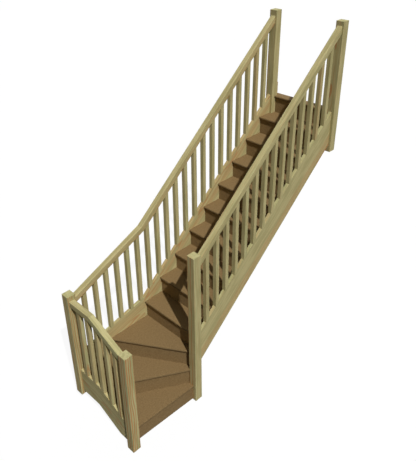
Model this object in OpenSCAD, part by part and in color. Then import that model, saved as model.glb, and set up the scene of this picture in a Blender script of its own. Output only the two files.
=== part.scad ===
// Quarter-turn closed-string timber stair: three winders at the foot, then one straight flight.
// X runs up the straight flight, Y from the inner string to the outer string, and Z is up.
// The origin is the centre of the inner newel's foot, on the floor.

/* [Steps] */
// Height of one step
rise = 200; // [180:1:215]
// Depth of one straight step, from nosing to nosing
going = 232; // [220:1:290]
// Thickness of a tread
tread_t = 22; // [18:1:30]
// Thickness of a riser
riser_t = 9; // [6:1:15]
// How far a nosing stands in front of its riser
nosing = 22; // [16:1:30]
// Depth of the groove under a tread that takes the riser's top edge
riser_groove = 6; // [3:1:10]
// How far a riser runs down past the underside of the tread in front of it
riser_lap = 3; // [1:0.5:8]
// Depth of the housings in the strings that the steps stand in
string_housing = 12; // [6:1:12]
// Depth of the housings in the newels that the steps stand in
newel_housing = 10; // [5:1:14]
// Width of the board that finishes the flight at the landing, with its nosing
landing_w = 113; // [100:1:160]

/* [Glue blocks] */
// Leg of a glue block against the tread, and against the riser
block_leg = 45; // [30:1:60]
// Flat left on a glue block's two thin edges
block_edge = 6; // [3:1:12]
// Length of a glue block
block_l = 75; // [50:1:100]
// Number of glue blocks behind each riser
block_count = 3; // [2:1:4]

/* [Plan] */
// Front newel to inner newel, centre to centre
entry_w = 852; // [760:1:960]
// Inner string to outer string, centre to centre
flight_w = 820; // [760:1:960]
// Turn of the first riser from the line of the front newels
first_turn = 2.6; // [1:0.1:2.8]
// First riser's face from the inner newel's centre
first_face = 3; // [0:1:4]
// Turn of the second riser from the line of the front newels
second_turn = 31; // [28:0.5:33]
// Second riser's face from the inner newel's centre
second_face = 24; // [20:1:30]
// Turn of the third riser from the line of the front newels
third_turn = 58; // [56:0.5:62]
// Third riser's face from the inner newel's centre
third_face = 52; // [46:1:54]
// Fourth riser's face past the inner newel's centre
fourth_face = 58; // [56:1:80]
// Last riser's face behind the centres of the top newels
top_newel_set = 24; // [14:1:30]

/* [Newels] */
// Side of a square newel
newel = 90; // [84:1:100]
// Radius that eases a newel's long edges
newel_ease = 3; // [1:0.5:6]
// Front newel's top above the handrail
front_newel_over = 44; // [20:1:120]
// Corner newel's top above the handrail
corner_newel_over = 53; // [20:1:120]
// Corner newel's foot below the front string
corner_newel_under = 56; // [20:1:150]
// Inner newel's top above the handrail
inner_newel_over = 63; // [20:1:120]
// Top newels' tops above the handrail
top_newel_over = 58; // [20:1:120]
// Top newels' feet below the strings
top_newel_under = 74; // [20:1:200]

/* [Strings] */
// Thickness of a string
string_t = 34; // [32:1:44]
// Width of a string, square to its slope
string_w = 292; // [270:1:330]
// String's top edge above the line of the nosings
string_margin = 63; // [45:1:90]
// How far a string of the flight runs past its top newel
string_head = 48; // [30:1:60]
// Knee of the outer string past the inner newel's centre
string_knee = 30; // [20:1:50]
// Slope of the outer string beside the winders
winder_string_slope = 14; // [10:0.5:18]
// Outer string's depth below the second tread
winder_string_under = 78; // [60:1:110]
// Length of the outer string's level bottom edge behind the third riser
winder_string_run = 60; // [40:1:120]
// Front string's top edge above the second tread
front_string_margin = 82; // [60:1:120]
// Depth of the front string's level part
front_string_w = 285; // [270:1:320]
// Height of the front string's foot above the floor
front_string_foot = 52; // [20:1:80]
// Knee of the front string's lower edge behind its upper knee
front_string_lag = 32; // [10:1:60]
// Thickness of a tenon
tenon_t = 14; // [10:1:15]
// Length of a tenon
tenon_l = 30; // [20:1:32]
// Shoulder left above and below a string's tenon
tenon_shoulder = 35; // [20:1:60]

/* [Handrails] */
// Width of a handrail
rail_w = 60; // [50:1:75]
// Height of a handrail, square to its slope
rail_h = 64; // [45:1:70]
// Radius that eases a handrail's edges
rail_ease = 5; // [2:0.5:10]
// Outer handrail's top above the line of the nosings
rail_over = 950; // [900:1:1000]
// Inner handrail's top above the line of the nosings
inner_rail_over = 964; // [900:1:1000]
// Slope of the handrails beside the winders
winder_rail_slope = 24.2; // [20:0.1:28]
// Knee of the outer handrail past the inner newel's centre
rail_knee = 48; // [40:1:80]
// Knee of the front handrail behind the inner newel's centre
front_knee = 473; // [380:1:560]
// Height of a handrail's tenon
rail_tenon_h = 28; // [20:1:34]

/* [Spindles] */
// Side of a square spindle
spindle = 43; // [32:1:46]
// Widest gap allowed between spindles
spindle_gap = 99.5; // [85:0.5:110]

/* [Hidden] */
$fn = 48;

pine = [0.73, 0.69, 0.48];
board = [0.52, 0.43, 0.30];

// Share of a gap left between a spindle and a newel, and between a spindle and a handrail's mitre
at_newel = 1;
at_mitre = 0.5;
// Overlap that makes a tenon one solid with its handrail
join = 1;
// Lower shoulder of the inner string's tenon, deeper because the string's edge slopes away
lower_shoulder = 2 * tenon_shoulder;
// Long enough to pass right across the stair
reach = 2 * (entry_w + flight_w);
// Number of the last riser, of the first straight step and of the last winder
last = 13;
first_straight = 4;
last_winder = first_straight - 1;

// Pitch of the straight flight and the slopes as gradients
pitch = atan(rise / going);
flight_grade = tan(pitch);
string_grade = tan(winder_string_slope);
rail_grade = tan(winder_rail_slope);

// Turn of riser k, and its face's distance from the inner newel's centre
function turn(k) = k == 1 ? first_turn : k == 2 ? second_turn : k == 3 ? third_turn : 90;
function face(k) = k == 1 ? first_face : k == 2 ? second_face : k == 3 ? third_face
    : fourth_face + (k - first_straight) * going;
function top_of(k) = k * rise;

// Newel centres and faces
front_x = -entry_w;
left_y = flight_w;
top_x = face(last) - top_newel_set;
half = newel / 2;
core = newel - 2 * newel_housing;

// Inner faces of the strings, the far ends of the housings in them and the flight's string heads
right_in = string_t / 2;
left_in = left_y - string_t / 2;
front_in = front_x + string_t / 2;
right_end = right_in - string_housing;
left_end = left_in + string_housing;
front_end = front_in - string_housing;
head_x = top_x + half + string_head;

// Edges of the strings, as heights along X or Y
function nosing_line(x) = top_of(first_straight) + (x - face(first_straight) + nosing) * flight_grade;
function flight_top(x) = nosing_line(x) + string_margin;
function flight_bottom(x) = flight_top(x) - string_w / cos(pitch);
function winder_top(x) = flight_top(string_knee) - (string_knee - x) * string_grade;
winder_foot = top_of(2) - tread_t - winder_string_under;
winder_foot_end = (third_face + riser_t - left_in * cos(third_turn)) / sin(third_turn) + winder_string_run;
front_level = top_of(2) + front_string_margin;
front_bottom = front_level - front_string_w;
front_under_knee = front_knee + front_string_lag;
front_foot_end = front_under_knee - (front_bottom - front_string_foot) / rail_grade;
function front_top(y) = front_level - max(0, front_knee - y) * rail_grade;

// Tops of the handrails, as heights along X or Y
function flight_rail(x) = nosing_line(x) + rail_over;
function inner_rail(x) = nosing_line(x) + inner_rail_over;
function winder_rail(x) = flight_rail(rail_knee) - (rail_knee - x) * rail_grade;
front_rail_top = winder_rail(front_x + half);
function front_rail(y) = front_rail_top - max(0, front_knee - y) * rail_grade;
flight_rail_depth = rail_h / cos(pitch);
winder_rail_depth = rail_h / cos(winder_rail_slope);

// Outer handrail's knee on its underside, and the middle of the mitre there
left_mitre = rail_h * tan((pitch - winder_rail_slope) / 2);
left_under_x = rail_knee + left_mitre * cos(winder_rail_slope) + rail_h * sin(winder_rail_slope);
left_turn_x = (rail_knee + left_under_x) / 2;

// Heights of the newels
front_newel_top = front_rail(half) + front_newel_over;
corner_newel_top = front_rail_top + corner_newel_over;
corner_newel_foot = front_bottom - corner_newel_under;
inner_newel_top = inner_rail(half) + inner_newel_over;
top_newel_top = flight_rail(top_x - half) + top_newel_over;
top_newel_foot = flight_bottom(top_x - half) - top_newel_under;

// Puts an outline drawn in X and Z between two values of Y
module along_y(from, to) {
    translate([0, to, 0]) rotate([90, 0, 0]) linear_extrude(to - from) children();
}

// Puts an outline drawn in Y and Z between two values of X
module along_x(from, to) {
    translate([from, 0, 0]) rotate([90, 0, 90]) linear_extrude(to - from) children();
}

// Puts a section of step k along its riser, from one distance to another off the inner newel
module across(k, from, to) {
    rotate([0, 0, -turn(k)]) along_x(-to, -from) children();
}

// Half of the plan that lies in front of riser k's face
module before(k) {
    rotate(-turn(k)) translate([-reach, face(k) - 2 * reach]) square(2 * reach);
}

// A box from one corner to the opposite one
module block(low, high) {
    translate(low) cube(high - low);
}

// Square with eased corners, centred
module eased_square(side, r) {
    square([side, side - 2 * r], center = true);
    square([side - 2 * r, side], center = true);
    for (x = [-1, 1], y = [-1, 1]) translate([x, y] * (side / 2 - r)) circle(r);
}

// Section of step k: a board with a round nosing, grooved below for the riser
module tread_section(k, depth) {
    r = tread_t / 2;
    tip = face(k) - nosing;
    difference() {
        union() {
            translate([tip + r, top_of(k) - tread_t]) square([depth - r, tread_t]);
            translate([tip + r, top_of(k) - r]) circle(r);
        }
        translate([face(k), top_of(k) - tread_t - r]) square([riser_t, r + riser_groove]);
    }
}

// Section of riser k, from just below the tread in front of it into the groove above
module riser_section(k) {
    low = k == 1 ? 0 : top_of(k - 1) - tread_t - riser_lap;
    high = top_of(k) - tread_t + riser_groove;
    translate([face(k), low]) square([riser_t, high - low]);
}

// What is left of the newels in plan inside the step housings
module newel_cores() {
    for (p = [[0, 0], [front_x, 0], [front_x, left_y], [top_x, 0], [top_x, left_y]])
        translate(p) square(core, center = true);
}

// Plan inside the housings on the outer side of the inner newel
module winder_plan() {
    difference() {
        intersection() {
            translate([front_end, -half]) square([half - front_end, left_end + half]);
            rotate(45) translate([-reach, 0]) square([2 * reach, reach]);
        }
        newel_cores();
    }
}

// Tapered treads that turn the corner, housed in the newels and the strings
module winder_tread(k) {
    color(board) intersection() {
        across(k, -newel, reach) tread_section(k, reach);
        linear_extrude(top_of(first_straight)) intersection() {
            before(k + 1);
            winder_plan();
        }
    }
}

// Last winder, which closes against the first straight riser and the inner string
module last_winder_tread() {
    color(board) intersection() {
        across(last_winder, -newel, reach) tread_section(last_winder, reach);
        linear_extrude(top_of(first_straight)) difference() {
            translate([-reach, right_end]) square([reach + face(first_straight), left_end - right_end]);
            newel_cores();
        }
    }
}

// Straight tread k between the strings
module straight_tread(k) {
    color(board) across(k, right_end, left_end) tread_section(k, going + nosing);
}

// Last tread, notched round the top newels
module notched_tread() {
    color(board) difference() {
        straight_tread(last - 1);
        translate([0, 0, top_of(last - 2)]) linear_extrude(2 * rise) newel_cores();
    }
}

// Board at landing level, notched round the top newels
module landing_nosing() {
    color(board) difference() {
        across(last, right_end, left_end) tread_section(last, landing_w);
        translate([0, 0, top_of(last - 1)]) linear_extrude(2 * rise) newel_cores();
    }
}

module tread(k) {
    if (k < last_winder) winder_tread(k);
    else if (k == last_winder) last_winder_tread();
    else if (k == last - 1) notched_tread();
    else straight_tread(k);
}

// Riser at the foot, between the front newels
module first_riser() {
    color(board) across(1, core / 2, entry_w - core / 2) riser_section(1);
}

// Riser of a winder, from the inner newel out to a string
module winder_riser(k) {
    color(board) intersection() {
        across(k, 0, reach) riser_section(k);
        linear_extrude(top_of(first_straight)) winder_plan();
    }
}

// Straight riser k between the strings
module straight_riser(k) {
    color(board) across(k, right_end, left_end) riser_section(k);
}

// Riser at the landing, between the top newels
module last_riser() {
    color(board) across(last, core / 2, flight_w - core / 2) riser_section(last);
}

module riser(k) {
    if (k == 1) first_riser();
    else if (k < first_straight) winder_riser(k);
    else if (k == last) last_riser();
    else straight_riser(k);
}

// Section of a glue block, in the corner behind riser k and under its tread
module block_section(k) {
    translate([face(k) + riser_t, top_of(k) - tread_t]) polygon([
        [0, 0], [block_leg, 0], [block_leg, -block_edge], [block_edge, -block_leg], [0, -block_leg]]);
}

// Free length behind riser k for its glue blocks, as distances off the inner newel
function blocks_from(k) = k < first_straight ? newel + block_leg : right_in;
function blocks_to(k) = k == 1 ? entry_w - half
    : k == 2 ? (face(k) * sin(turn(k)) - front_in) / cos(turn(k))
    : (left_in - (face(k) + riser_t + block_leg) * cos(turn(k))) / sin(turn(k));

// Glue blocks that stiffen the corners under the steps, spread evenly along each riser
module glue_blocks() {
    color(pine) for (k = [1 : last - 1], i = [1 : block_count]) {
        share = (i - 0.5) / block_count;
        middle = blocks_from(k) + share * (blocks_to(k) - blocks_from(k));
        across(k, middle - block_l / 2, middle + block_l / 2) block_section(k);
    }
}

// Tenons of the strings
module front_string_tenons() {
    x = [front_x - tenon_t / 2, front_x + tenon_t / 2];
    block([x[0], half - tenon_l, front_string_foot + tenon_shoulder],
        [x[1], half + tenon_t, front_top(half) - tenon_shoulder]);
    block([x[0], left_y - half - tenon_t, front_bottom + tenon_shoulder],
        [x[1], left_y - half + tenon_l, front_level - tenon_shoulder]);
}

module left_string_tenon() {
    x = front_x + half;
    block([x - tenon_l, left_y - tenon_t / 2, winder_foot + tenon_shoulder],
        [x + tenon_t, left_y + tenon_t / 2, winder_top(x) - tenon_shoulder]);
}

module right_string_tenon() {
    block([half - tenon_l, -tenon_t / 2, flight_bottom(half) + lower_shoulder],
        [half + tenon_t, tenon_t / 2, flight_top(half) - tenon_shoulder]);
}

// Front string, cranked from a level part at the corner down to the front newel
module front_string() {
    color(pine) difference() {
        union() {
            along_x(front_x - string_t / 2, front_in) polygon([
                [half, front_string_foot], [front_foot_end, front_string_foot],
                [front_under_knee, front_bottom], [left_y - half, front_bottom],
                [left_y - half, front_level], [front_knee, front_level], [half, front_top(half)]]);
            front_string_tenons();
        }
        tread(1);
        tread(2);
        riser(2);
    }
}

// Outer string beside the winders
module left_winder_string() {
    low_x = front_x + half;
    color(pine) difference() {
        union() {
            along_y(left_in, left_in + string_t) polygon([
                [low_x, winder_foot], [winder_foot_end, winder_foot],
                [string_knee, flight_bottom(string_knee)], [string_knee, flight_top(string_knee)],
                [low_x, winder_top(low_x)]]);
            left_string_tenon();
        }
        tread(2);
        tread(3);
        riser(3);
    }
}

// Side outline of a straight string from a start to its head
module flight_outline(start) {
    polygon([
        [start, flight_bottom(start)], [head_x, flight_bottom(head_x)],
        [head_x, flight_top(head_x)], [start, flight_top(start)]]);
}

// Steps that stand in the straight strings
module housed_steps() {
    for (k = [last_winder : last - 1]) tread(k);
    for (k = [first_straight : last - 1]) riser(k);
    landing_nosing();
}

module left_string() {
    color(pine) difference() {
        along_y(left_in, left_in + string_t) flight_outline(string_knee);
        housed_steps();
    }
}

module right_string() {
    color(pine) difference() {
        union() {
            along_y(-right_in, right_in) flight_outline(half);
            right_string_tenon();
        }
        housed_steps();
    }
}

// Plain square post on a plan point
module post(place, low, high) {
    translate([place[0], place[1], low]) linear_extrude(high - low) eased_square(newel, newel_ease);
}

module front_newel() {
    color(pine) difference() {
        post([front_x, 0], 0, front_newel_top);
        tread(1);
        riser(1);
        front_string_tenons();
        front_rail_tenons();
    }
}

module corner_newel() {
    color(pine) difference() {
        post([front_x, left_y], corner_newel_foot, corner_newel_top);
        tread(2);
        front_string_tenons();
        left_string_tenon();
        front_rail_tenons();
        left_rail_tenons();
    }
}

module inner_newel() {
    color(pine) difference() {
        post([0, 0], 0, inner_newel_top);
        for (k = [1 : last_winder]) {
            tread(k);
            riser(k);
        }
        right_string_tenon();
        right_rail_tenons();
    }
}

// Top newel, slotted for the string that runs through it
module top_newel(y) {
    color(pine) difference() {
        post([top_x, y], top_newel_foot, top_newel_top);
        along_y(y - string_t / 2, y + string_t / 2) flight_outline(top_x - newel);
        tread(last - 1);
        riser(last);
        landing_nosing();
        children();
    }
}

module top_left_newel() {
    top_newel(left_y) left_rail_tenons();
}

module top_right_newel() {
    top_newel(0) right_rail_tenons();
}

// Section of a handrail, hung from its top line
module rail_section() {
    inset = rail_w / 2 - rail_ease;
    translate([-inset, -rail_h]) square([2 * inset, rail_h]);
    translate([-rail_w / 2, rail_ease - rail_h]) square([rail_w, rail_h - 2 * rail_ease]);
    for (x = [-inset, inset], y = [-rail_ease, rail_ease - rail_h]) translate([x, y]) circle(rail_ease);
}

// Straight bar of handrail up a slope along X, through a point of its top line
module rail_bar(y, through, slope) {
    translate([through[0], y, through[1]]) rotate([0, -slope, 0]) along_x(-reach, reach) rail_section();
}

// Side outline between two cuts, each given by a point and its tilt from plumb
module cut_between(first, first_tilt, second, second_tilt) {
    span = 4 * rail_h;
    a = span * [-sin(first_tilt), cos(first_tilt)];
    b = span * [-sin(second_tilt), cos(second_tilt)];
    polygon([first - a, second - b, second + b, first + a]);
}

// Stub tenon of a handrail along X, in the face of a newel
module rail_tenon(x, y, top, depth) {
    middle = top - depth / 2;
    block([x - tenon_l, y - tenon_t / 2, middle - rail_tenon_h / 2],
        [x + tenon_l, y + tenon_t / 2, middle + rail_tenon_h / 2]);
}

module left_rail_tenons() {
    low_x = front_x + half;
    high_x = top_x - half;
    rail_tenon(low_x, left_y, winder_rail(low_x), winder_rail_depth);
    rail_tenon(high_x, left_y, flight_rail(high_x), flight_rail_depth);
}

module right_rail_tenons() {
    for (x = [half, top_x - half]) rail_tenon(x, 0, inner_rail(x), flight_rail_depth);
}

module front_rail_tenons() {
    turned_front() {
        rail_tenon(half, 0, front_rail(half), winder_rail_depth);
        rail_tenon(left_y - half, 0, front_rail_top, rail_h);
    }
}

// Turns what is drawn along X to run along Y over the front string
module turned_front() {
    translate([front_x, 0, 0]) rotate([0, 0, 90]) children();
}

// Outer handrail, mitred where its slope changes
module left_winder_rail() {
    low_x = front_x + half;
    knee = [rail_knee, flight_rail(rail_knee)];
    color(pine) {
        intersection() {
            rail_bar(left_y, knee, winder_rail_slope);
            along_y(left_y - rail_w, left_y + rail_w)
                cut_between([low_x, winder_rail(low_x)], 0, knee, (winder_rail_slope + pitch) / 2);
        }
        intersection() {
            left_rail_tenons();
            block([low_x - tenon_l, left_y - rail_w, 0], [low_x + join, left_y + rail_w, knee[1]]);
        }
    }
}

module left_rail() {
    high_x = top_x - half;
    knee = [rail_knee, flight_rail(rail_knee)];
    color(pine) {
        intersection() {
            rail_bar(left_y, knee, pitch);
            along_y(left_y - rail_w, left_y + rail_w)
                cut_between(knee, (winder_rail_slope + pitch) / 2, [high_x, flight_rail(high_x)], 0);
        }
        intersection() {
            left_rail_tenons();
            block([high_x - join, left_y - rail_w, 0], [high_x + tenon_l, left_y + rail_w, top_newel_top]);
        }
    }
}

module right_rail() {
    ends = [half, top_x - half];
    color(pine) {
        intersection() {
            rail_bar(0, [half, inner_rail(half)], pitch);
            along_y(-rail_w, rail_w) cut_between(
                [ends[0], inner_rail(ends[0])], 0, [ends[1], inner_rail(ends[1])], 0);
        }
        intersection() {
            right_rail_tenons();
            union() {
                block([ends[0] - tenon_l, -rail_w, 0], [ends[0] + join, rail_w, top_newel_top]);
                block([ends[1] - join, -rail_w, 0], [ends[1] + tenon_l, rail_w, top_newel_top]);
            }
        }
    }
}

// Front handrail, mitred where it turns level
module front_rail_slope() {
    knee = [front_knee, front_rail_top];
    color(pine) {
        turned_front() intersection() {
            rail_bar(0, knee, winder_rail_slope);
            along_y(-rail_w, rail_w) cut_between([half, front_rail(half)], 0, knee, winder_rail_slope / 2);
        }
        intersection() {
            front_rail_tenons();
            block([front_x - rail_w, half - tenon_l, 0], [front_x + rail_w, half + join, knee[1]]);
        }
    }
}

module front_rail_level() {
    far_y = left_y - half;
    knee = [front_knee, front_rail_top];
    color(pine) {
        turned_front() intersection() {
            rail_bar(0, knee, 0);
            along_y(-rail_w, rail_w) cut_between(knee, winder_rail_slope / 2, [far_y, front_rail_top], 0);
        }
        intersection() {
            front_rail_tenons();
            block([front_x - rail_w, far_y - join, 0], [front_x + rail_w, far_y + tenon_l, knee[1]]);
        }
    }
}

// Strips for a run of spindles, as few as keep its gaps within the limit, with shares of a gap at its ends
module spindle_strips(start, run, first_gap, last_gap) {
    ends = first_gap + last_gap;
    count = ceil((run - (ends - 1) * spindle_gap) / (spindle + spindle_gap));
    gap = (run - count * spindle) / (count - 1 + ends);
    for (i = [0 : count - 1])
        translate([start + first_gap * gap + i * (spindle + gap), 0]) square([spindle, top_newel_top]);
}

// Space between the outer string and its handrail
module left_infill() {
    low_x = front_x + half;
    high_x = top_x - half;
    polygon([
        [low_x, winder_top(low_x)], [string_knee, flight_top(string_knee)], [high_x, flight_top(high_x)],
        [high_x, flight_rail(high_x) - flight_rail_depth],
        [left_under_x, flight_rail(left_under_x) - flight_rail_depth],
        [low_x, winder_rail(low_x) - winder_rail_depth]]);
}

module left_run_spindles() {
    color(pine) along_y(left_y - spindle / 2, left_y + spindle / 2) intersection() {
        left_infill();
        children();
    }
}

module left_winder_spindles() {
    low_x = front_x + half;
    left_run_spindles() spindle_strips(low_x, left_turn_x - low_x, at_newel, at_mitre);
}

module left_spindles() {
    high_x = top_x - half;
    left_run_spindles() spindle_strips(left_turn_x, high_x - left_turn_x, at_mitre, at_newel);
}

module right_spindles() {
    run = top_x - newel;
    high_x = top_x - half;
    color(pine) along_y(-spindle / 2, spindle / 2) intersection() {
        polygon([
            [half, flight_top(half)], [high_x, flight_top(high_x)],
            [high_x, inner_rail(high_x) - flight_rail_depth],
            [half, inner_rail(half) - flight_rail_depth]]);
        spindle_strips(half, run, at_newel, at_newel);
    }
}

module front_spindles() {
    run = left_y - newel;
    far_y = left_y - half;
    under_y = front_knee + rail_h * tan(winder_rail_slope / 2);
    color(pine) along_x(front_x - spindle / 2, front_x + spindle / 2) intersection() {
        polygon([
            [half, front_top(half)], [front_knee, front_level], [far_y, front_level],
            [far_y, front_rail_top - rail_h], [under_y, front_rail_top - rail_h],
            [half, front_rail(half) - winder_rail_depth]]);
        spindle_strips(half, run, at_newel, at_newel);
    }
}

front_newel();
corner_newel();
inner_newel();
top_left_newel();
top_right_newel();
front_string();
left_winder_string();
left_string();
right_string();
for (k = [1 : last - 1]) tread(k);
landing_nosing();
for (k = [1 : last]) riser(k);
glue_blocks();
front_spindles();
left_winder_spindles();
left_spindles();
right_spindles();
front_rail_slope();
front_rail_level();
left_winder_rail();
left_rail();
right_rail();
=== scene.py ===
import math
import bpy
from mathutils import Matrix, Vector


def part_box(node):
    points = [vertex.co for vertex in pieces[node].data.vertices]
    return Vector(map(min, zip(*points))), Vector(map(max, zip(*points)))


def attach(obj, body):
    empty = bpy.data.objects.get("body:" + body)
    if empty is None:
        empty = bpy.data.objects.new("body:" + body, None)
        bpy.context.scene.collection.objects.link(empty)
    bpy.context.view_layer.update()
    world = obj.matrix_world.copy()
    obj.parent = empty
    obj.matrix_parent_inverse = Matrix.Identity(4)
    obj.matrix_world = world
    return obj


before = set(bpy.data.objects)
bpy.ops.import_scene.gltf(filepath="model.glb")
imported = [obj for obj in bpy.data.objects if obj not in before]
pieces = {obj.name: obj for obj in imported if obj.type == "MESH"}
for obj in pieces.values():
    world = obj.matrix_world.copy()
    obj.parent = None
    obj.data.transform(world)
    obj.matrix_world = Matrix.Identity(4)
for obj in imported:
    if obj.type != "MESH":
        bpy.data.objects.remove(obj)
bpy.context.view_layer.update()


# Newels: five square posts of planed softwood, each sawn from beside the heart of the log, so that lines
# of darker late wood wander up its faces. The strings and handrails are tenoned into them. Their long
# edges are eased, and the tops are cut square, where the sanded end grain is pale.
def add(tree, kind, values=None, **settings):
    """A new node in a tree, with its settings, and its inputs set or linked by name or number."""
    made = tree.nodes.new(kind)
    for name, value in settings.items():
        setattr(made, name, value)
    for socket, value in (values or {}).items():
        if isinstance(value, bpy.types.NodeSocket):
            tree.links.new(value, made.inputs[socket])
        else:
            made.inputs[socket].default_value = value
    return made


def calc(tree, operation, first, second=0.0, third=0.0):
    """Result of one sum in a node tree."""
    return add(tree, "ShaderNodeMath", {0: first, 1: second, 2: third}, operation=operation).outputs[0]


def calc_vector(tree, operation, first, second):
    """Result of one sum of vectors in a node tree."""
    return add(tree, "ShaderNodeVectorMath", {0: first, 1: second}, operation=operation).outputs["Vector"]


def ramp_up(tree, value, low, high):
    """Smooth step from 0 at low to 1 at high."""
    inputs = {"Value": value, "From Min": low, "From Max": high}
    return add(tree, "ShaderNodeMapRange", inputs, interpolation_type="SMOOTHSTEP").outputs["Result"]


def blend(tree, amount, first, second, way="MIX"):
    """Colour between two others."""
    made = add(tree, "ShaderNodeMix", {0: amount, 6: first, 7: second}, data_type="RGBA", blend_type=way)
    return made.outputs[2]


def stretched(tree, place, across, along):
    """Place scaled for a pattern that is fine across the grain and long along it."""
    return calc_vector(tree, "MULTIPLY", place, (across, across, along))


def noise(tree, place, scale=1.0, detail=2.0):
    """Value and colour of a soft noise."""
    made = add(tree, "ShaderNodeTexNoise", {"Vector": place, "Scale": scale, "Detail": detail})
    return made.outputs["Fac"], made.outputs["Color"]


def tone(red, green, blue):
    """Linear colour of a tone given as it looks on a screen, from 0 to 255."""
    def line(value):
        share = value / 255
        return share / 12.92 if share <= 0.04045 else ((share + 0.055) / 1.055) ** 2.4
    return (line(red), line(green), line(blue), 1.0)


def new_group(name, takes, gives):
    """An empty shader node group with its named sockets, and its two end nodes."""
    tree = bpy.data.node_groups.new(name, "ShaderNodeTree")
    for label, kind, value in takes:
        socket = tree.interface.new_socket(label, in_out="INPUT", socket_type=kind)
        if value is not None:
            socket.default_value = value
    for label, kind in gives:
        tree.interface.new_socket(label, in_out="OUTPUT", socket_type=kind)
    return tree, add(tree, "NodeGroupInput").outputs, add(tree, "NodeGroupOutput").inputs


# Tones of the wood: sapwood, its greener bands, heartwood, and the late part of a ring
PALE = tone(187, 180, 131)
CAST = tone(170, 165, 117)
WARM = tone(186, 156, 106)
LATE = tone(176, 112, 64)
# How fine each pattern is, across the grain and along it
WANDER = (8.0, 2.2)
FIBRES = (420.0, 7.0)
BANDS = (30.0, 3.0)
BAND_EDGES = (0.40, 0.62)
# How quickly the rings change in width, and by how many years they stray
RING_CHANGE = 0.45
RING_STRAY = 1.6
# Parts of a year over which the late wood comes and goes
LATE_COMES = (0.4, 0.75)
LATE_GOES = (1.0, 0.9)
# How much the late wood varies from year to year and from sapwood to heartwood, and the least of it
YEAR_RANGE = (0.5, 0.5)
HEART_RANGE = (0.5, 0.5)
HEART_STRAY = 0.05
HEART_FADE = 0.045
HEART_WARMTH = 0.3
# How much the fibres change the tone and the roughness, and where each starts
FIBRE_SHADE = (0.36, 0.82)
FIBRE_ROUGH = (0.16, 0.58)
LATE_ROUGH = -0.1
# Shares of the fibres and of the late wood in the relief
FIBRE_RISE = 0.5
LATE_RISE = 0.5


def make_pine_grain():
    """Softwood in the round: growth rings about a pith that runs along the piece's own Z."""
    tree, takes, gives = new_group(
        "pine_grain",
        [("Place", "NodeSocketVector", None), ("Ring", "NodeSocketFloat", 0.006),
         ("Waver", "NodeSocketFloat", 0.02), ("Late", "NodeSocketFloat", 0.7),
         ("Heart", "NodeSocketFloat", 0.06), ("Seed", "NodeSocketFloat", 0.0)],
        [("Color", "NodeSocketColor"), ("Roughness", "NodeSocketFloat"), ("Height", "NodeSocketFloat")])
    shifted = add(tree, "ShaderNodeCombineXYZ", {"Z": takes["Seed"]}).outputs[0]
    place = calc_vector(tree, "ADD", takes["Place"], shifted)

    # The trunk wanders and swells along its length
    drift = noise(tree, stretched(tree, place, *WANDER))[1]
    centred = calc_vector(tree, "SUBTRACT", drift, (0.5, 0.5, 0.5))
    swing = add(tree, "ShaderNodeVectorMath", {0: centred, "Scale": takes["Waver"]}, operation="SCALE")
    wandered = calc_vector(tree, "ADD", place, swing.outputs["Vector"])
    flat = calc_vector(tree, "MULTIPLY", wandered, (1, 1, 0))
    radius = add(tree, "ShaderNodeVectorMath", {0: flat}, operation="LENGTH").outputs["Value"]

    # Rings of uneven width, each pale first, darker late in the year, and then cut off sharply
    years = calc(tree, "DIVIDE", radius, takes["Ring"])
    uneven = add(tree, "ShaderNodeTexNoise", {"W": years, "Scale": RING_CHANGE, "Detail": 1.0},
                 noise_dimensions="1D").outputs["Fac"]
    years = calc(tree, "MULTIPLY_ADD", uneven, RING_STRAY, years)
    season = calc(tree, "FRACT", years)
    year = calc(tree, "FLOOR", years)
    strength = add(tree, "ShaderNodeTexWhiteNoise", {"W": year}, noise_dimensions="1D").outputs["Value"]
    strength = calc(tree, "MULTIPLY_ADD", strength, *YEAR_RANGE)
    late = calc(tree, "MULTIPLY", ramp_up(tree, season, *LATE_COMES), ramp_up(tree, season, *LATE_GOES))
    late = calc(tree, "MULTIPLY", calc(tree, "MULTIPLY", late, strength), takes["Late"])

    # Fibres, and broad soft bands of tone along the grain
    fibre = noise(tree, stretched(tree, place, *FIBRES), detail=3.0)[0]
    band = noise(tree, stretched(tree, place, *BANDS))[0]

    # The heartwood near the pith is warmer, and its rings are darker
    depth = calc(tree, "SUBTRACT", calc(tree, "MULTIPLY_ADD", band, HEART_STRAY, radius), takes["Heart"])
    heart = ramp_up(tree, depth, HEART_FADE, 0.0)
    late = calc(tree, "MULTIPLY", late, calc(tree, "MULTIPLY_ADD", heart, *HEART_RANGE))

    colour = blend(tree, ramp_up(tree, band, *BAND_EDGES), PALE, CAST)
    colour = blend(tree, calc(tree, "MULTIPLY", heart, HEART_WARMTH), colour, WARM)
    colour = blend(tree, late, colour, LATE)
    shade = calc(tree, "MULTIPLY_ADD", fibre, *FIBRE_SHADE)
    shade = add(tree, "ShaderNodeCombineColor", {0: shade, 1: shade, 2: shade}).outputs[0]
    rough = calc(tree, "MULTIPLY_ADD", fibre, *FIBRE_ROUGH)
    height = calc(tree, "MULTIPLY", fibre, FIBRE_RISE)
    tree.links.new(blend(tree, 1.0, colour, shade, "MULTIPLY"), gives["Color"])
    tree.links.new(calc(tree, "MULTIPLY_ADD", late, LATE_ROUGH, rough), gives["Roughness"])
    tree.links.new(calc(tree, "MULTIPLY_ADD", late, LATE_RISE, height), gives["Height"])
    return tree


PINE_GRAIN = make_pine_grain()


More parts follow.
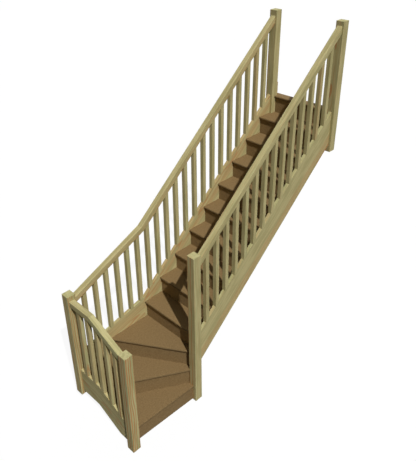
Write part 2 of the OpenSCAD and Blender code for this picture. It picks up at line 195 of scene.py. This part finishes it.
def finished(material, tree, grain, relief, shine):
    """Ends a material: the grain's colour, roughness and relief on one surface."""
    bump = add(tree, "ShaderNodeBump", {"Height": grain["Height"], "Strength": 1.0, "Distance": relief})
    surface = add(tree, "ShaderNodeBsdfPrincipled", {
        "Base Color": grain["Color"], "Roughness": grain["Roughness"], "Specular IOR Level": shine,
        "Normal": bump.outputs["Normal"]})
    add(tree, "ShaderNodeOutputMaterial", {"Surface": surface.outputs["BSDF"]})
    return material


def new_material(name):
    """An empty node material."""
    material = bpy.data.materials.new(name)
    material.use_nodes = True
    material.node_tree.nodes.clear()
    return material, material.node_tree


UPRIGHT = 90.0


def own_place(tree, pith, slope, turn):
    """Object coordinates with Z up a piece's length, X down across it, and the pith at their origin."""
    here = add(tree, "ShaderNodeTexCoord").outputs["Object"]
    lie = (0.0, math.radians(UPRIGHT - slope), math.radians(turn))
    return add(tree, "ShaderNodeMapping", {"Vector": here, "Location": pith, "Rotation": lie},
               vector_type="TEXTURE").outputs[0]


PINE_RELIEF = 0.0004
PINE_SHINE = 0.05
# Depths below a sawn top between which the late wood comes in
SAWN_TOP = (0.001, 0.003)


def pine(name, pith, slope=UPRIGHT, turn=0.0, top=None, **values):
    """Pine for one piece, by the place of its pith, the way it lies, and the height of its sawn top."""
    material, tree = new_material(name)
    place = own_place(tree, pith, slope, turn)
    grain = add(tree, "ShaderNodeGroup", {"Place": place, **values}, node_tree=PINE_GRAIN)
    if top is not None:
        height = add(tree, "ShaderNodeSeparateXYZ", {0: place}).outputs["Z"]
        below = ramp_up(tree, height, *[top - depth for depth in SAWN_TOP])
        tree.links.new(calc(tree, "MULTIPLY", below, values["Late"]), grain.inputs["Late"])
    return finished(material, tree, grain.outputs, PINE_RELIEF, PINE_SHINE)


WELD_GAP = 0.00002
FLAT = math.radians(0.5)
SHARP = math.radians(35)
EASED_EDGE = 0.0018
EASED_STEPS = 2


def ease(piece, width):
    """Takes the sharpness off a piece's edges, as sandpaper does."""
    weld = piece.modifiers.new("weld", "WELD")
    weld.merge_threshold = WELD_GAP
    plain = piece.modifiers.new("plain", "DECIMATE")
    plain.decimate_type = "DISSOLVE"
    plain.angle_limit = FLAT
    bevel = piece.modifiers.new("ease", "BEVEL")
    bevel.width = width
    bevel.segments = EASED_STEPS
    bevel.limit_method = "ANGLE"
    bevel.angle_limit = SHARP
    piece.modifiers.new("shade", "WEIGHTED_NORMAL")


def dress(name, material, width=EASED_EDGE):
    """Puts a finish on a piece and eases its edges."""
    piece = pieces[name]
    piece.data.materials.clear()
    piece.data.materials.append(material)
    ease(piece, width)
    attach(piece, "root")


def dress_pine(name, pith, **values):
    """Dresses a piece in pine with a grain of its own."""
    dress(name, pine(name + "_pine", pith, **values))


def beside(name, x=0.0, y=0.0, z=0.0):
    """A point that lies off the centre of a piece's box."""
    low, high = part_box(name)
    return (low + high) / 2 + Vector((x, y, z))


# Pith in X and Y from the newel's centre, width of a ring, and strength of the late wood
NEWEL_GRAIN = {
    "front_newel": (0.100, -0.100, 0.021, 1.9),
    "corner_newel": (0.105, -0.095, 0.021, 1.45),
    "inner_newel": (-0.065, 0.020, 0.016, 0.65),
    "top_left_newel": (-0.085, 0.055, 0.014, 0.8),
    "top_right_newel": (-0.078, 0.020, 0.014, 0.7),
}
NEWEL_SEED = 3.7
for number, (name, (pith_x, pith_y, ring, late)) in enumerate(NEWEL_GRAIN.items()):
    pith = beside(name, pith_x, pith_y)
    pith.z = 0.0
    dress_pine(name, pith, top=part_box(name)[1].z,
               Ring=ring, Waver=0.05, Late=late, Heart=0.05, Seed=number * NEWEL_SEED)


# Strings: the wide planks that carry the steps, planed softwood with the steps let into them.
# The flight's two strings are straight; the front one and the one by the winders are cut to a crank.
# Warm heartwood shows low on the inner plank and high on the outer one, and the rest is pale sapwood.
RISE = 0.2
GOING = 0.232
FLIGHT_PITCH = math.degrees(math.atan2(RISE, GOING))
WINDER_STRING_SLOPE = 14.0
FRONT_STRING_SLOPE = 12.0
FRONT_TURN = 90.0


def along_flight(name, down, depth):
    """A point on a flight piece's middle line, moved down across its width and off through its depth."""
    lean = math.radians(FLIGHT_PITCH)
    return beside(name, down * math.sin(lean), depth, -down * math.cos(lean))


dress_pine("right_string", along_flight("right_string", down=0.155, depth=0.015), slope=FLIGHT_PITCH,
           Ring=0.014, Waver=0.04, Late=0.7, Heart=0.10, Seed=11.0)
dress_pine("left_string", along_flight("left_string", down=-0.11, depth=0.04), slope=FLIGHT_PITCH,
           Ring=0.012, Waver=0.05, Late=0.7, Heart=0.11, Seed=17.0)
dress_pine("left_winder_string", beside("left_winder_string", y=0.05), slope=WINDER_STRING_SLOPE,
           Ring=0.012, Waver=0.05, Late=0.55, Heart=0.16, Seed=23.0)
dress_pine("front_string", beside("front_string", x=0.13), slope=FRONT_STRING_SLOPE, turn=FRONT_TURN,
           Ring=0.010, Waver=0.04, Late=0.9, Heart=0.12, Seed=29.0)


# Steps: treads, risers and the landing board of brown wood-fibre board, with round nosings.
# The risers stand in grooves under the treads, and the ends are let into the strings and newels.
# The board has no grain, only fine fibres and a little mottle. The round front of each nosing has painted
# shade, darker than the rest of the board.
BOARD = tone(131, 108, 72)
BOARD_DARK = tone(120, 97, 63)
BOARD_PALE = tone(150, 127, 90)
# How fine the mottle, the specks and the fibres are, and where each turns from one tone to the next
MOTTLE = 60.0
MOTTLE_EDGES = (0.3, 0.7)
SPECKS = 420.0
SPECK_EDGES = (0.56, 0.72)
BOARD_FIBRES = (900.0, 160.0)
BOARD_FIBRE_EDGES = (0.6, 0.75)
# How much the specks change the roughness, and where it starts
SPECK_ROUGH = (0.2, 0.68)
# Shares of the specks and of the fibres in the relief
SPECK_RISE = 0.5
BOARD_FIBRE_RISE = 0.5


def make_board_fibre():
    """Pressed fibre board: soft mottle, fine specks and short fibres."""
    tree, takes, gives = new_group(
        "board_fibre", [("Place", "NodeSocketVector", None)],
        [("Color", "NodeSocketColor"), ("Roughness", "NodeSocketFloat"), ("Height", "NodeSocketFloat")])
    place = takes["Place"]
    mottle = noise(tree, place, MOTTLE, 3.0)[0]
    specks = noise(tree, place, SPECKS)[0]
    fibre = noise(tree, stretched(tree, place, *BOARD_FIBRES))[0]
    colour = blend(tree, ramp_up(tree, mottle, *MOTTLE_EDGES), BOARD_DARK, BOARD)
    colour = blend(tree, ramp_up(tree, specks, *SPECK_EDGES), colour, BOARD_PALE)
    colour = blend(tree, ramp_up(tree, fibre, *BOARD_FIBRE_EDGES), colour, BOARD_DARK)
    height = calc(tree, "MULTIPLY", specks, SPECK_RISE)
    tree.links.new(colour, gives["Color"])
    tree.links.new(calc(tree, "MULTIPLY_ADD", specks, *SPECK_ROUGH), gives["Roughness"])
    tree.links.new(calc(tree, "MULTIPLY_ADD", fibre, BOARD_FIBRE_RISE, height), gives["Height"])
    return tree


BOARD_FIBRE = make_board_fibre()
BOARD_RELIEF = 0.0002
BOARD_SHINE = 0.2
TREAD = 0.022
# Painted shade: the colour by which the round front of each tread's nosing is darkened, standing in for
# shade
NOSING_PAINTED_SHADE = (0.68, 0.68, 0.66, 1.0)
# Distances from a tread's top and from its underside over which the painted shade on the nosing comes in
NOSING_SHADE_FADE = (0.0003, 0.0007)


def painted_nosing_shade_mask(tree, here):
    """Mask for the painted shade on a nosing: 1 on the round front of a tread, between its top and its
    underside.
    """
    height = add(tree, "ShaderNodeSeparateXYZ", {0: here}).outputs["Z"]
    step = calc(tree, "FRACT", calc(tree, "MULTIPLY_ADD", height, 1 / RISE, 0.5))
    depth = calc(tree, "MULTIPLY_ADD", step, -RISE, RISE / 2)
    below = ramp_up(tree, depth, *NOSING_SHADE_FADE)
    above = ramp_up(tree, depth, *[TREAD - fade for fade in NOSING_SHADE_FADE])
    return calc(tree, "MULTIPLY", below, above)


def fibre_board(name, paints_nosing_shade):
    """Brown fibre board for the steps, with or without painted shade on the round front of a nosing."""
    material, tree = new_material(name)
    here = add(tree, "ShaderNodeTexCoord").outputs["Object"]
    surface = dict(add(tree, "ShaderNodeGroup", {"Place": here}, node_tree=BOARD_FIBRE).outputs.items())
    if paints_nosing_shade:
        # Painted shade: darkens the board's colour on the round front of the nosing
        surface["Color"] = blend(tree, painted_nosing_shade_mask(tree, here), surface["Color"], NOSING_PAINTED_SHADE, "MULTIPLY")
    return finished(material, tree, surface, BOARD_RELIEF, BOARD_SHINE)


LAST_RISER = 13
TREAD_EASE = 0.001
RISER_EASE = 0.0006
tread_board = fibre_board("tread_board", True)
riser_board = fibre_board("riser_board", False)
for step in range(1, LAST_RISER):
    dress("tread_%d" % step, tread_board, TREAD_EASE)
for step in range(1, LAST_RISER + 1):
    dress("riser_%d" % step, riser_board, RISER_EASE)
dress("landing_nosing", tread_board, TREAD_EASE)


# Glue blocks: offcuts of softwood, sawn to a triangle and glued in the corners under the steps.
# Their grain runs across the flight.
BLOCK_EASE = 0.001
BLOCK_PITH = (0.0, 0.0, -0.06)
dress("glue_blocks", pine(
    "glue_block_pine", BLOCK_PITH, slope=0.0, turn=FRONT_TURN,
    Ring=0.009, Waver=0.05, Late=0.9, Heart=0.1, Seed=53.0), BLOCK_EASE)


# Screws: countersunk steel screws, driven through the foot of each riser into the back edge of the tread
# in front of it. Only their cross-recessed heads show, on the underside of the stair.
RISER = 0.009
FIRST_STRAIGHT = 4
FIRST_STRAIGHT_FACE = 0.058
SQUARE_TURN = 90.0
# Turn of each winder's riser, and its face from the inner newel's centre
WINDER_RISERS = {2: (31.0, 0.024), 3: (58.0, 0.052)}
# Ends of each row of screws, along the riser from the inner newel's centre
WINDER_REACH = {2: (0.16, 0.90), 3: (0.16, 0.84)}
STRAIGHT_REACH = (0.10, 0.72)


def screw_line(step):
    """Two ends of the row of screws on the back of a riser."""
    straight = (SQUARE_TURN, FIRST_STRAIGHT_FACE + (step - FIRST_STRAIGHT) * GOING)
    turn, face = WINDER_RISERS.get(step, straight)
    lean = math.radians(turn)
    out = Vector((-math.cos(lean), math.sin(lean), 0.0))
    behind = Vector((math.sin(lean), math.cos(lean), 0.0)) * (face + RISER)
    up = Vector((0.0, 0.0, (step - 1) * RISE - TREAD / 2))
    return [behind + up + out * along for along in WINDER_REACH.get(step, STRAIGHT_REACH)]


HEAD_SIDES = 20
RECESS_LIFT = 0.6
HEAD_SPIN = 1.5
HEAD_SEED = 5


def make_screw_rows():
    """Rows of screw heads along the edges of a mesh, each turned its own way."""
    tree = bpy.data.node_groups.new("screw_rows", "GeometryNodeTree")
    tree.interface.new_socket("Seats", in_out="INPUT", socket_type="NodeSocketGeometry")
    for label, kind, value in (
            ("Screws", "NodeSocketInt", 4), ("Radius", "NodeSocketFloat", 0.004),
            ("Height", "NodeSocketFloat", 0.001), ("Recess", "NodeSocketFloat", 0.005),
            ("Slot", "NodeSocketFloat", 0.0011), ("Finish", "NodeSocketMaterial", None)):
        socket = tree.interface.new_socket(label, in_out="INPUT", socket_type=kind)
        if value is not None:
            socket.default_value = value
    tree.interface.new_socket("Geometry", in_out="OUTPUT", socket_type="NodeSocketGeometry")
    takes = add(tree, "NodeGroupInput").outputs

    # A flat head with two crossed slots cut into it
    head = add(tree, "GeometryNodeMeshCylinder", {
        "Vertices": HEAD_SIDES, "Radius": takes["Radius"], "Depth": takes["Height"]}).outputs["Mesh"]
    lift = calc(tree, "MULTIPLY", takes["Height"], RECESS_LIFT)
    raised = add(tree, "ShaderNodeCombineXYZ", {"Z": lift}).outputs[0]
    for wide, deep in (("Recess", "Slot"), ("Slot", "Recess")):
        size = add(tree, "ShaderNodeCombineXYZ", {
            "X": takes[wide], "Y": takes[deep], "Z": takes["Height"]}).outputs[0]
        slot = add(tree, "GeometryNodeMeshCube", {"Size": size}).outputs["Mesh"]
        slot = add(tree, "GeometryNodeTransform", {"Geometry": slot, "Translation": raised})
        cut = add(tree, "GeometryNodeMeshBoolean", {"Mesh 1": head}, operation="DIFFERENCE", solver="EXACT")
        tree.links.new(slot.outputs["Geometry"], cut.inputs["Mesh 2"])
        head = cut.outputs["Mesh"]

    # One head at each place along a row, facing out from the board
    lines = add(tree, "GeometryNodeMeshToCurve", {"Mesh": takes["Seats"]}).outputs["Curve"]
    upright = add(tree, "GeometryNodeSetCurveNormal", {"Curve": lines})
    points = add(tree, "GeometryNodeCurveToPoints", {
        "Curve": upright.outputs["Curve"], "Count": takes["Screws"]}, mode="COUNT").outputs
    facing = add(tree, "FunctionNodeAlignRotationToVector", {"Vector": points["Normal"]}, axis="Z")
    placed = add(tree, "GeometryNodeInstanceOnPoints", {
        "Points": points["Points"], "Instance": head, "Rotation": facing.outputs["Rotation"]})
    chance = add(tree, "FunctionNodeRandomValue", {"Min": 0.0, "Max": HEAD_SPIN, "Seed": HEAD_SEED},
                 data_type="FLOAT")
    spin = add(tree, "ShaderNodeCombineXYZ", {"Z": chance.outputs["Value"]}).outputs[0]
    turned = add(tree, "GeometryNodeRotateInstances", {
        "Instances": placed.outputs["Instances"], "Rotation": spin, "Local Space": True})
    solid = add(tree, "GeometryNodeRealizeInstances", {"Geometry": turned.outputs["Instances"]})
    done = add(tree, "GeometryNodeSetMaterial", {
        "Geometry": solid.outputs["Geometry"], "Material": takes["Finish"]})
    add(tree, "NodeGroupOutput", {"Geometry": done.outputs["Geometry"]})
    return tree


ZINC = (0.55, 0.50, 0.36, 1.0)
ZINC_ROUGH = 0.35


def plain_steel(name):
    """Zinc-plated steel."""
    material, tree = new_material(name)
    surface = add(tree, "ShaderNodeBsdfPrincipled", {
        "Base Color": ZINC, "Metallic": 1.0, "Roughness": ZINC_ROUGH})
    add(tree, "ShaderNodeOutputMaterial", {"Surface": surface.outputs["BSDF"]})
    return material


def grown(name, seats, tree, values):
    """A plain mesh object from the points and edges of a seat mesh and a node tree's inputs."""
    seat = bpy.data.objects.new(name + "_seat", seats)
    bpy.context.scene.collection.objects.link(seat)
    grow = seat.modifiers.new("grow", "NODES")
    grow.node_group = tree
    sockets = {item.name: item.identifier for item in tree.interface.items_tree if item.in_out == "INPUT"}
    for label, value in values.items():
        grow[sockets[label]] = value
    mesh = bpy.data.meshes.new_from_object(seat.evaluated_get(bpy.context.evaluated_depsgraph_get()))
    seat.modifiers.remove(grow)
    bpy.data.objects.remove(seat)
    made = bpy.data.objects.new(name, mesh)
    bpy.context.scene.collection.objects.link(made)
    return made


SCREWS_IN_ROW = 4
screw_seats = bpy.data.meshes.new("screw_seats")
screw_ends = [end for step in range(2, LAST_RISER + 1) for end in screw_line(step)]
screw_seats.from_pydata(screw_ends, [(i, i + 1) for i in range(0, len(screw_ends), 2)], [])
screws = grown("screws", screw_seats, make_screw_rows(), {
    "Screws": SCREWS_IN_ROW, "Finish": plain_steel("screw_steel")})
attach(screws, "root")


# Spindles: plain square bars of the same softwood, cut on the slope at both ends and fixed between the
# strings and the handrails. Each is its own stick, with its own grain and tone.
SPINDLE = 0.043
STICK_SHIFT = (0.12, 0.12, 9.0)


def stick_place(tree, name, axis, count):
    """Object coordinates that start afresh in each stick of a run, with its own shift."""
    low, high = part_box(name)
    step = (high[axis] - low[axis] - SPINDLE) / (count - 1)
    start = low[axis] + SPINDLE / 2 - step / 2
    here = add(tree, "ShaderNodeTexCoord").outputs["Object"]
    along = add(tree, "ShaderNodeSeparateXYZ", {0: here}).outputs[axis]
    number = calc(tree, "FLOOR", calc(tree, "DIVIDE", calc(tree, "SUBTRACT", along, start), step))
    chance = add(tree, "ShaderNodeTexWhiteNoise", {"W": number}, noise_dimensions="1D").outputs["Color"]
    shift = calc_vector(tree, "MULTIPLY", chance, STICK_SHIFT)
    other = 1 - axis
    centre = {
        axis: calc(tree, "MULTIPLY_ADD", number, step, start + step / 2),
        other: (low[other] + high[other]) / 2}
    middle_line = add(tree, "ShaderNodeCombineXYZ", centre).outputs[0]
    return calc_vector(tree, "ADD", calc_vector(tree, "SUBTRACT", here, middle_line), shift)


def stick_pine(name, axis, count, late):
    """Pine for a run of spindles."""
    material, tree = new_material(name + "_pine")
    place = stick_place(tree, name, axis, count)
    grain = add(tree, "ShaderNodeGroup", {
        "Place": place, "Ring": 0.007, "Waver": 0.02, "Late": late, "Heart": 0.02}, node_tree=PINE_GRAIN)
    return finished(material, tree, grain.outputs, PINE_RELIEF, PINE_SHINE)


ALONG_X = 0
ALONG_Y = 1
# Way that each run goes, number of its sticks, and strength of the late wood
SPINDLE_RUNS = {
    "front_spindles": (ALONG_Y, 5, 1.3),
    "left_winder_spindles": (ALONG_X, 6, 0.7),
    "left_spindles": (ALONG_X, 14, 0.7),
    "right_spindles": (ALONG_X, 14, 0.7),
}
for name, (axis, count, late) in SPINDLE_RUNS.items():
    dress(name, stick_pine(name, axis, count, late))


# Handrails: softwood bars with eased edges, tenoned into the newels and mitred where the slope turns.
# Grain runs along each length, so it breaks at the mitres.
WINDER_RAIL_SLOPE = 24.2
dress_pine("right_rail", along_flight("right_rail", down=0.07, depth=0.05), slope=FLIGHT_PITCH,
           Ring=0.008, Waver=0.02, Late=0.8, Heart=0.05, Seed=31.0)
dress_pine("left_rail", along_flight("left_rail", down=0.03, depth=-0.05), slope=FLIGHT_PITCH,
           Ring=0.008, Waver=0.03, Late=0.8, Heart=0.04, Seed=37.0)
dress_pine("left_winder_rail", beside("left_winder_rail", y=-0.05, z=-0.03), slope=WINDER_RAIL_SLOPE,
           Ring=0.008, Waver=0.03, Late=0.8, Heart=0.04, Seed=41.0)
dress_pine("front_rail_slope", beside("front_rail_slope", x=-0.05, z=-0.04),
           slope=WINDER_RAIL_SLOPE, turn=FRONT_TURN,
           Ring=0.012, Waver=0.03, Late=0.2, Heart=0.0, Seed=43.0)
dress_pine("front_rail_level", beside("front_rail_level", x=-0.05, z=-0.04), slope=0.0, turn=FRONT_TURN,
           Ring=0.008, Waver=0.02, Late=0.6, Heart=0.03, Seed=47.0)


# Stage: a plain white floor that takes the stair's shadow faintly, a sun-like key light from high behind
# the camera, a dim even surround, and soft wide lights from above and from behind and below for the sides
# that the key misses. The camera has the photo's viewing angle.
WHITE = (1, 1, 1, 1)
FLOOR_SIZE = 60.0
FLOOR_DROP = 0.0005
FLOOR_GLOW = 0.92


def seen_directly(tree):
    """1 for rays that show the background as it is: from the camera, in a reflection or through glass."""
    path = add(tree, "ShaderNodeLightPath").outputs
    seen = calc(tree, "MAXIMUM", path["Is Camera Ray"], path["Is Glossy Ray"])
    return calc(tree, "MAXIMUM", seen, path["Is Transmission Ray"])


floor_material, floor_tree = new_material("white_floor")
matte = add(floor_tree, "ShaderNodeBsdfDiffuse", {"Color": WHITE})
glow = add(floor_tree, "ShaderNodeEmission", {"Color": WHITE, "Strength": 1.0})
white_share = calc(floor_tree, "MULTIPLY", seen_directly(floor_tree), FLOOR_GLOW)
floor_mix = add(floor_tree, "ShaderNodeMixShader", {0: white_share, 1: matte.outputs[0], 2: glow.outputs[0]})
add(floor_tree, "ShaderNodeOutputMaterial", {"Surface": floor_mix.outputs[0]})
bpy.ops.mesh.primitive_plane_add(size=FLOOR_SIZE, location=(0, 0, -FLOOR_DROP))
floor = bpy.context.object
floor.name = "floor"
floor.data.materials.append(floor_material)
floor.visible_diffuse = False
floor.visible_shadow = False

SURROUND = 0.045
SKY_LIGHT = 0.22
TO_SKY = Vector((0.35, -0.35, 0.87)).normalized()
BACK_LIGHT = 1.5
TO_BACK = Vector((1.0, 1.0, -0.5)).normalized()
LIGHT_FALL = 2.0


def soft_light(tree, way, toward):
    """A wide light that fades out to the side of the direction that it comes from."""
    facing = add(tree, "ShaderNodeVectorMath", {0: way, 1: toward}, operation="DOT_PRODUCT").outputs["Value"]
    return calc(tree, "POWER", calc(tree, "MAXIMUM", facing, 0.0), LIGHT_FALL)


world = bpy.data.worlds.new("surround")
bpy.context.scene.world = world
world.use_nodes = True
world_tree = world.node_tree
world_tree.nodes.clear()
way = add(world_tree, "ShaderNodeTexCoord").outputs["Object"]
dim = calc(world_tree, "MULTIPLY_ADD", soft_light(world_tree, way, TO_SKY), SKY_LIGHT, SURROUND)
dim = calc(world_tree, "MULTIPLY_ADD", soft_light(world_tree, way, TO_BACK), BACK_LIGHT, dim)
surround = add(world_tree, "ShaderNodeMix", {0: seen_directly(world_tree), 2: dim, 3: 1.0}).outputs[0]
backing = add(world_tree, "ShaderNodeBackground", {"Color": WHITE, "Strength": surround})
add(world_tree, "ShaderNodeOutputWorld", {"Surface": backing.outputs[0]})

TO_KEY = Vector((-0.315, -0.725, 1.0)).normalized()
KEY_STRENGTH = 3.35
KEY_SOFTNESS = math.radians(0.8)
key = bpy.data.lights.new("key", "SUN")
key.energy = KEY_STRENGTH
key.angle = KEY_SOFTNESS
key_lamp = bpy.data.objects.new("key", key)
key_lamp.rotation_euler = TO_KEY.to_track_quat("Z", "Y").to_euler()
bpy.context.scene.collection.objects.link(key_lamp)

CAMERA_PLACE = (-2.8933, -2.9327, 4.8147)
CAMERA_TILT = 60.912
CAMERA_ROLL = 0.950
CAMERA_HEADING = -44.942
CAMERA_LENS = 43.61
CAMERA_SHIFT = (0.0374, -0.0899)
CAMERA_REACH = 200.0
view = bpy.data.cameras.new("camera")
view.lens = CAMERA_LENS
view.shift_x, view.shift_y = CAMERA_SHIFT
view.clip_end = CAMERA_REACH
camera = bpy.data.objects.new("camera", view)
camera.location = CAMERA_PLACE
camera.rotation_euler = [math.radians(angle) for angle in (CAMERA_TILT, CAMERA_ROLL, CAMERA_HEADING)]
bpy.context.scene.collection.objects.link(camera)
bpy.context.scene.camera = camera
bpy.context.scene.view_settings.view_transform = "Standard"
